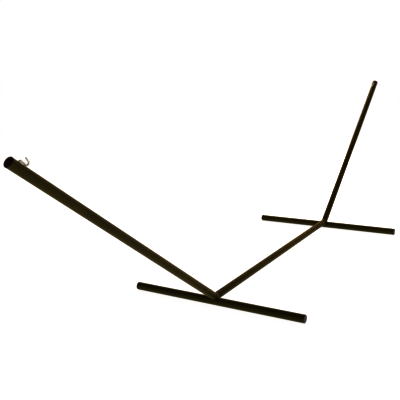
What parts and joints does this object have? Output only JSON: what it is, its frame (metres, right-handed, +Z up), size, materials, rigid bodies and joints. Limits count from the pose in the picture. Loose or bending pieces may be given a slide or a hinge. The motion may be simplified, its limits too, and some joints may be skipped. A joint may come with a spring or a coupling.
{
  "type": "hammock stand",
  "caption": "Steel tube hammock stand: a low base beam on cross foot bars, with sloping uprights that end in swivel hooks.",
  "frame": {"origin": "on the ground, midway between the two foot bars and on the base beam's centreline", "axes": "+X along the base beam from the left to the right upright, +Y along the foot bars, +Z up"},
  "size_m": [4.7768, 1.2192, 1.1838],
  "materials": {
    "powder_coat": "satin dark bronze powder coat",
    "cap_plastic": "moulded dark brown plastic",
    "zinc": "zinc plated, slightly yellowed",
    "plated_fastener": "zinc plated"
  },
  "bodies": {
    "stand": {"base_beam": "powder_coat", "left_upright": "powder_coat", "left_elbow": "powder_coat", "left_foot_bar": "powder_coat", "left_tip_cap": "cap_plastic", "left_foot_cap_front": "cap_plastic", "left_foot_cap_rear": "cap_plastic", "left_base_bolt": "plated_fastener", "left_base_captive_nut": "plated_fastener", "left_upright_bolt": "plated_fastener", "left_upright_captive_nut": "plated_fastener", "left_hook_saddle": "zinc", "left_hook_backing": "zinc", "right_upright": "powder_coat", "right_elbow": "powder_coat", "right_foot_bar": "powder_coat", "right_tip_cap": "cap_plastic", "right_foot_cap_front": "cap_plastic", "right_foot_cap_rear": "cap_plastic", "right_base_bolt": "plated_fastener", "right_base_captive_nut": "plated_fastener", "right_upright_bolt": "plated_fastener", "right_upright_captive_nut": "plated_fastener", "right_hook_saddle": "zinc", "right_hook_backing": "zinc"},
    "left_hook": {"left_hook": "zinc", "left_hook_washer": "zinc", "left_hook_nut": "zinc"},
    "right_hook": {"right_hook": "zinc", "right_hook_washer": "zinc", "right_hook_nut": "zinc"}
  },
  "joints": [
    {"name": "left_hook_swivel", "type": "hinge", "parent": "stand", "child": "left_hook", "pos_m": [-2.32743, 0, 1.14803], "axis": [0.6101, 0, 0.7923], "continuous": true},
    {"name": "right_hook_swivel", "type": "hinge", "parent": "stand", "child": "right_hook", "pos_m": [2.32743, 0, 1.14803], "axis": [-0.6101, 0, 0.7923], "continuous": true}
  ]
}
